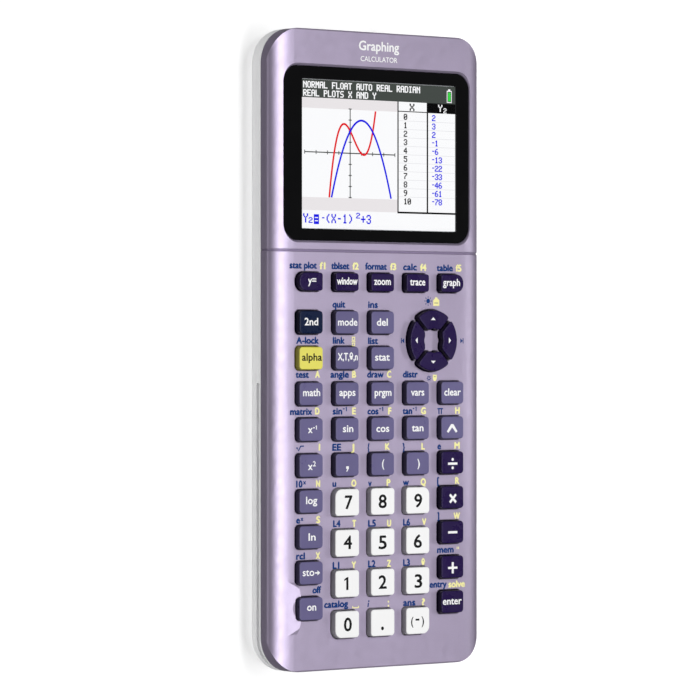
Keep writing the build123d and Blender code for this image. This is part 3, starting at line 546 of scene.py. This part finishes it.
def glow(name, rgb, strength):
    """A lit pixel colour: even, with a faint pixel grid in its brightness."""
    m, nt, b = new_mat(name)
    tc = nt.nodes.new("ShaderNodeTexCoord")
    grid = nt.nodes.new("ShaderNodeTexBrick")
    grid.offset = 0.0
    grid.inputs["Scale"].default_value = 1.0
    grid.inputs["Brick Width"].default_value = LW / 320 * MM
    grid.inputs["Row Height"].default_value = LH / 240 * MM
    grid.inputs["Mortar Size"].default_value = 0.00001
    grid.inputs["Color1"].default_value = (*(c * 0.12 for c in rgb), 1)
    grid.inputs["Color2"].default_value = (*(c * 0.11 for c in rgb), 1)
    grid.inputs["Mortar"].default_value = (*(c * 0.06 for c in rgb), 1)
    nt.links.new(tc.outputs["Object"], grid.inputs["Vector"])
    nt.links.new(grid.outputs["Color"], b.inputs["Base Color"])
    b.inputs["Roughness"].default_value = 0.2
    b.inputs["Specular IOR Level"].default_value = 0.1
    b.inputs["Emission Color"].default_value = (*rgb, 1)
    b.inputs["Emission Strength"].default_value = strength
    return m


S = 1.03
G = {
    "white": glow("screen_white", (0.95, 0.955, 0.97), S),
    "pale": glow("screen_pale", srgb(232, 228, 230), S),
    "status": glow("screen_status", srgb(74, 80, 76), 0.84),
    "black": glow("screen_black", (0.004, 0.004, 0.004), 0.0),
    "axis": glow("screen_axis", srgb(70, 74, 72), 0.8),
    "red": glow("screen_red", srgb(226, 20, 30), S),
    "blue": glow("screen_blue", srgb(16, 20, 226), S),
    "green": glow("screen_green", srgb(60, 210, 70), S),
    "line": glow("screen_line", srgb(222, 222, 226), S),
}


def scr(u, v):
    return LX - LW / 2 + u * LW / 320, LY + LH / 2 - v * LH / 240


screen = Shape()


def srect(u0, v0, u1, v1, level, mat):
    (x0, y1), (x1, y0) = scr(u0, v0), scr(u1, v1)
    z = SCREEN_Z + 0.02 * level
    screen.box(x0, y0, x1, y1, z - 0.015, z, mat)


FONT = {
    "A": "01110 10001 10001 11111 10001 10001 10001", "B": "11110 10001 10001 11110 10001 10001 11110",
    "C": "01110 10001 10000 10000 10000 10001 01110", "D": "11110 10001 10001 10001 10001 10001 11110",
    "E": "11111 10000 10000 11110 10000 10000 11111", "F": "11111 10000 10000 11110 10000 10000 10000",
    "G": "01110 10001 10000 10111 10001 10001 01111", "I": "01110 00100 00100 00100 00100 00100 01110",
    "L": "10000 10000 10000 10000 10000 10000 11111", "M": "10001 11011 10101 10101 10001 10001 10001",
    "N": "10001 11001 10101 10011 10001 10001 10001", "O": "01110 10001 10001 10001 10001 10001 01110",
    "P": "11110 10001 10001 11110 10000 10000 10000", "R": "11110 10001 10001 11110 10100 10010 10001",
    "S": "01111 10000 10000 01110 00001 00001 11110", "T": "11111 00100 00100 00100 00100 00100 00100",
    "U": "10001 10001 10001 10001 10001 10001 01110", "X": "10001 10001 01010 00100 01010 10001 10001",
    "Y": "10001 10001 01010 00100 00100 00100 00100", "(": "00010 00100 01000 01000 01000 00100 00010",
    ")": "01000 00100 00010 00010 00010 00100 01000", "-": "00000 00000 00000 01110 00000 00000 00000",
    "+": "00000 00100 00100 11111 00100 00100 00000", "=": "00000 00000 11111 00000 11111 00000 00000",
    "0": "01110 10001 10011 10101 11001 10001 01110", "1": "00100 01100 00100 00100 00100 00100 01110",
    "2": "01110 10001 00001 00110 01000 10000 11111", "3": "01110 10001 00001 00110 00001 10001 01110",
    "4": "00010 00110 01010 10010 11111 00010 00010", "5": "11111 10000 11110 00001 00001 10001 01110",
    "6": "00110 01000 10000 11110 10001 10001 01110", "7": "11111 00001 00010 00100 01000 01000 01000",
    "8": "01110 10001 10001 01110 10001 10001 01110", "9": "01110 10001 10001 01111 00001 00010 01100",
    " ": "00000 00000 00000 00000 00000 00000 00000",
}


def pixels(text, u, v, mat, px=1.35, py=1.5, pitch=8.4, level=3, bold=0.85):
    """Dot-matrix lettering, each run of dots in a row as one small slab."""
    for ch in text:
        rows = FONT[ch].split()
        for r, row in enumerate(rows):
            c = 0
            while c < 5:
                if row[c] == "1":
                    e = c
                    while e < 5 and row[e] == "1":
                        e += 1
                    srect(u + c * px - bold / 2, v + r * py - bold / 5, u + e * px + bold / 2, v + (r + 1) * py + bold / 5, level, mat)
                    c = e
                else:
                    c += 1
        u += pitch


# background, bands and status bar
srect(0, 0, 320, 240, 0, G["white"])
srect(0, 29, 197, 46, 1, G["pale"])
srect(0, 190, 197, 211, 1, G["pale"])
srect(0, 0, 320, 29, 1, G["status"])
pixels("NORMAL FLOAT AUTO REAL RADIAN", 2.5, 3.0, G["white"])
pixels("REAL PLOTS X AND Y", 2.5, 16.5, G["white"])
# battery mark
srect(302, 7, 312.5, 27, 2, G["white"])
srect(305, 4.5, 309.5, 7, 2, G["white"])
srect(303.3, 8.6, 311.2, 25.6, 3, G["status"])
srect(304.4, 10, 310.1, 24.4, 4, G["green"])
# axes and ticks
U0, V0, DU, DV = 98.5, 117.0, 23.3, 18.0
srect(4.5, V0 - 0.9, 191, V0 + 0.9, 2, G["axis"])
srect(U0 - 0.9, 46, U0 + 0.9, 190, 2, G["axis"])
for i in range(-4, 5):
    if i:
        srect(U0 + i * DU - 0.8, V0 - 3.2, U0 + i * DU + 0.8, V0 + 3.2, 2, G["axis"])
        srect(U0 - 3.2, V0 + i * DV - 0.8, U0 + 3.2, V0 + i * DV + 0.8, 2, G["axis"])


def curve(fn, mat, level):
    """Plots y = fn(x), leaving out what is off the panel."""
    run, runs = [], []
    n = 900
    for i in range(n + 1):
        x = -4.0 + 8.0 * i / n
        y = fn(x)
        if -4.05 <= y <= 4.0:
            run.append(scr(U0 + x * DU, V0 - y * DV))
        elif run:
            runs.append(run)
            run = []
    if run:
        runs.append(run)
    for r in runs:
        keep = [r[0]]
        for p in r[1:]:
            if math.hypot(p[0] - keep[-1][0], p[1] - keep[-1][1]) > 0.35:
                keep.append(p)
        z = SCREEN_Z + 0.02 * level
        screen.stroke(keep, 0.62, z - 0.015, z, mat)


curve(lambda x: x ** 3 - x ** 2 - 2 * x + 2, G["red"], 3)
curve(lambda x: -(x - 1) ** 2 + 3, G["blue"], 4)
# table
srect(197, 29, 199.5, 211, 2, G["black"])
srect(259, 29, 262, 211, 2, G["black"])
srect(197, 209.5, 320, 212.5, 2, G["black"])
srect(262, 29, 320, 45, 2, G["black"])
srect(197, 44, 320, 45.5, 3, G["black"])
pixels("X", 223, 31.5, G["black"], 1.9, 1.65, bold=0.9)
pixels("Y", 283.5, 31, G["white"], 1.7, 1.65, 9.5, 4, 0.6)
pixels("2", 294.5, 36.5, G["white"], 1.3, 1.2, 9.5, 4, 0.4)
TABLE_V, ROW_V = 48.6, 13.9
YS = [2, 3, 2, -1, -6, -13, -22, -33, -46, -61, -78]
for i, yv in enumerate(YS):
    v = TABLE_V + i * ROW_V
    pixels(str(i), 210.5, v, G["black"], 1.35, 1.4, 8.0)
    if yv < 0:
        srect(270.5, v + 3.2, 275.0, v + 4.9, 3, G["blue"])
    pixels(str(abs(yv)), 276.5 if yv < 0 else 270.5, v, G["blue"], 1.35, 1.4, 8.0)
    if i:
        srect(199.5, v - 2.6, 259, v - 1.9, 1, G["line"])
        srect(262, v - 2.6, 320, v - 1.9, 1, G["line"])
# entry line
pixels("Y", 2.5, 216.5, G["blue"], 1.9, 2.1, 12)
pixels("2", 13.5, 222.5, G["blue"], 1.5, 1.3, 12)
srect(24, 217.5, 34.5, 233.5, 2, G["blue"])
srect(26, 222, 32.5, 223.6, 3, G["white"])
srect(26, 227.2, 32.5, 228.8, 3, G["white"])
srect(40.5, 222, 45.5, 224, 3, G["blue"])
pixels("(X-1)", 48.5, 216.5, G["blue"], 1.75, 2.1, 11.6)
pixels("2", 111, 213.5, G["blue"], 1.5, 1.3, 12)
pixels("+3", 121, 216.5, G["blue"], 1.75, 2.1, 11.4)
screen.build("display_picture", "case", "lcd_tray")


# ---------------------------------------------------------------- display window
def rounded(cx, cy, w, h, r, n=10):
    pts = []
    for sx, sy, a0 in ((1, 1, 0), (-1, 1, 90), (-1, -1, 180), (1, -1, 270)):
        for i in range(n + 1):
            a = math.radians(a0 + 90 * i / n)
            pts.append((cx + sx * (w / 2 - r) + r * math.cos(a), cy + sy * (h / 2 - r) + r * math.sin(a)))
    return pts


def loops(shape, rings, mat, close_low=False):
    """Skin through stacked outlines of equal point counts, each a list of (x, y, z)."""
    n = len(rings[0])
    verts = [p for r in rings for p in r]
    faces = []
    for k in range(len(rings)):
        k2 = (k + 1) % len(rings)
        for i in range(n):
            j = (i + 1) % n
            faces.append((k * n + i, k * n + j, k2 * n + j, k2 * n + i))
    shape.add(verts, faces, mat)


WX, WY, WW, WH = 0.0, 58.2, 71.3, 51.6
n = 10


def aperture(grow):
    """Screen opening with the same point count as the rounded outline, square corners."""
    return rounded(LX, LY, LW + 2 * grow, LH + 2 * grow, 0.25, n)


border = Shape()
outer = rounded(WX, WY, WW, WH, 5.0, n)
outer_in = rounded(WX, WY, WW - 0.5, WH - 0.5, 4.75, n)
inner_top = aperture(0.2)
inner_low = aperture(0.1)
loops(border, [
    [(x, y, 11.9) for x, y in outer],
    [(x, y, 12.45) for x, y in outer],
    [(x, y, 12.7) for x, y in outer_in],
    [(x, y, 12.7) for x, y in inner_top],
    [(x, y, 12.66) for x, y in inner_top],
    [(x, y, 11.9) for x, y in inner_low],
], MATS["window_black"])
border = border.build("window_border", "case", "window_black")
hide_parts("display_window")

pane_mat, pnt, pb = new_mat("window_clear")
pb.inputs["Base Color"].default_value = (0.02, 0.02, 0.022, 1)
pb.inputs["Alpha"].default_value = 0.05
pb.inputs["Specular IOR Level"].default_value = 0.5
pnt.links.new(maprange(pnt, noise(pnt, 150, 3), 0.3, 0.7, 0.04, 0.09), pb.inputs["Roughness"])
pane = Shape()
pane.prism(aperture(0.05), 12.60, 12.68, pane_mat)
pane.build("window_pane", "case", "window_black")

# ---------------------------------------------------------------- floor, lights, camera
fm, fnt, fb = new_mat("floor_pale")
fb.inputs["Base Color"].default_value = (0.8, 0.8, 0.8, 1)
fb.inputs["Roughness"].default_value = 0.9
fb.inputs["Emission Color"].default_value = (1, 1, 1, 1)
fb.inputs["Emission Strength"].default_value = 0.42
geo = fnt.nodes.new("ShaderNodeNewGeometry")
trans = fnt.nodes.new("ShaderNodeBsdfTransparent")
mixs = fnt.nodes.new("ShaderNodeMixShader")
fnt.links.new(geo.outputs["Backfacing"], mixs.inputs["Fac"])
fnt.links.new(fb.outputs["BSDF"], mixs.inputs[1])
fnt.links.new(trans.outputs["BSDF"], mixs.inputs[2])
fnt.links.new(mixs.outputs["Shader"], fnt.nodes["Material Output"].inputs["Surface"])
fme = bpy.data.meshes.new("floor")
fme.from_pydata([(-4, -4, 0), (4, -4, 0), (4, 4, 0), (-4, 4, 0)], [], [(0, 1, 2, 3)])
fme.materials.append(fm)
floor = bpy.data.objects.new("floor", fme)
bpy.context.scene.collection.objects.link(floor)
floor.visible_glossy = False


def area(name, loc, target, size, power, color=(1, 1, 1), size_y=None):
    l = bpy.data.lights.new(name, "AREA")
    l.energy = power
    l.color = color
    l.size = size
    if size_y:
        l.shape = "RECTANGLE"
        l.size_y = size_y
    o = bpy.data.objects.new(name, l)
    o.location = loc
    o.rotation_euler = (Vector(target) - Vector(loc)).to_track_quat("-Z", "X").to_euler()
    bpy.context.scene.collection.objects.link(o)
    return o


area("overhead", (0.113, 0.0, 0.755), (0, 0, 0.0133), 0.28, 5.6, size_y=1.0)
area("right_low", (0.713, 0.0, 0.463), (0.0, 0, 0.0133), 0.15, 0.6, size_y=0.22)
area("left_low", (-0.95, -0.1, 0.24), (-0.04, 0, 0), 0.4, 0.9, size_y=0.9)

world = bpy.data.worlds.new("studio")
bpy.context.scene.world = world
world.use_nodes = True
world.node_tree.nodes["Background"].inputs["Color"].default_value = (1, 1, 1, 1)
world.node_tree.nodes["Background"].inputs["Strength"].default_value = 0.10

vs = bpy.context.scene.view_settings
vs.view_transform = "Standard"
vs.look = "None"
vs.exposure = 0.0

cam = bpy.data.cameras.new("camera")
cam.sensor_width = 36.0
cam.lens = 207.6
cam.clip_start, cam.clip_end = 0.1, 10
co = bpy.data.objects.new("camera", cam)
bpy.context.scene.collection.objects.link(co)
th = math.radians(38.65)
back = Vector((-math.sin(th), 0, math.cos(th)))
right = Vector((math.cos(th), 0, math.sin(th)))
up = Vector((0, 1, 0))
pos = Vector((0, 0, FACE_Z * MM)) + back * 1.2083 - right * 0.008695
rot = Matrix((right, up, back)).transposed().to_4x4()
co.matrix_world = Matrix.Translation(pos) @ rot
bpy.context.scene.camera = co
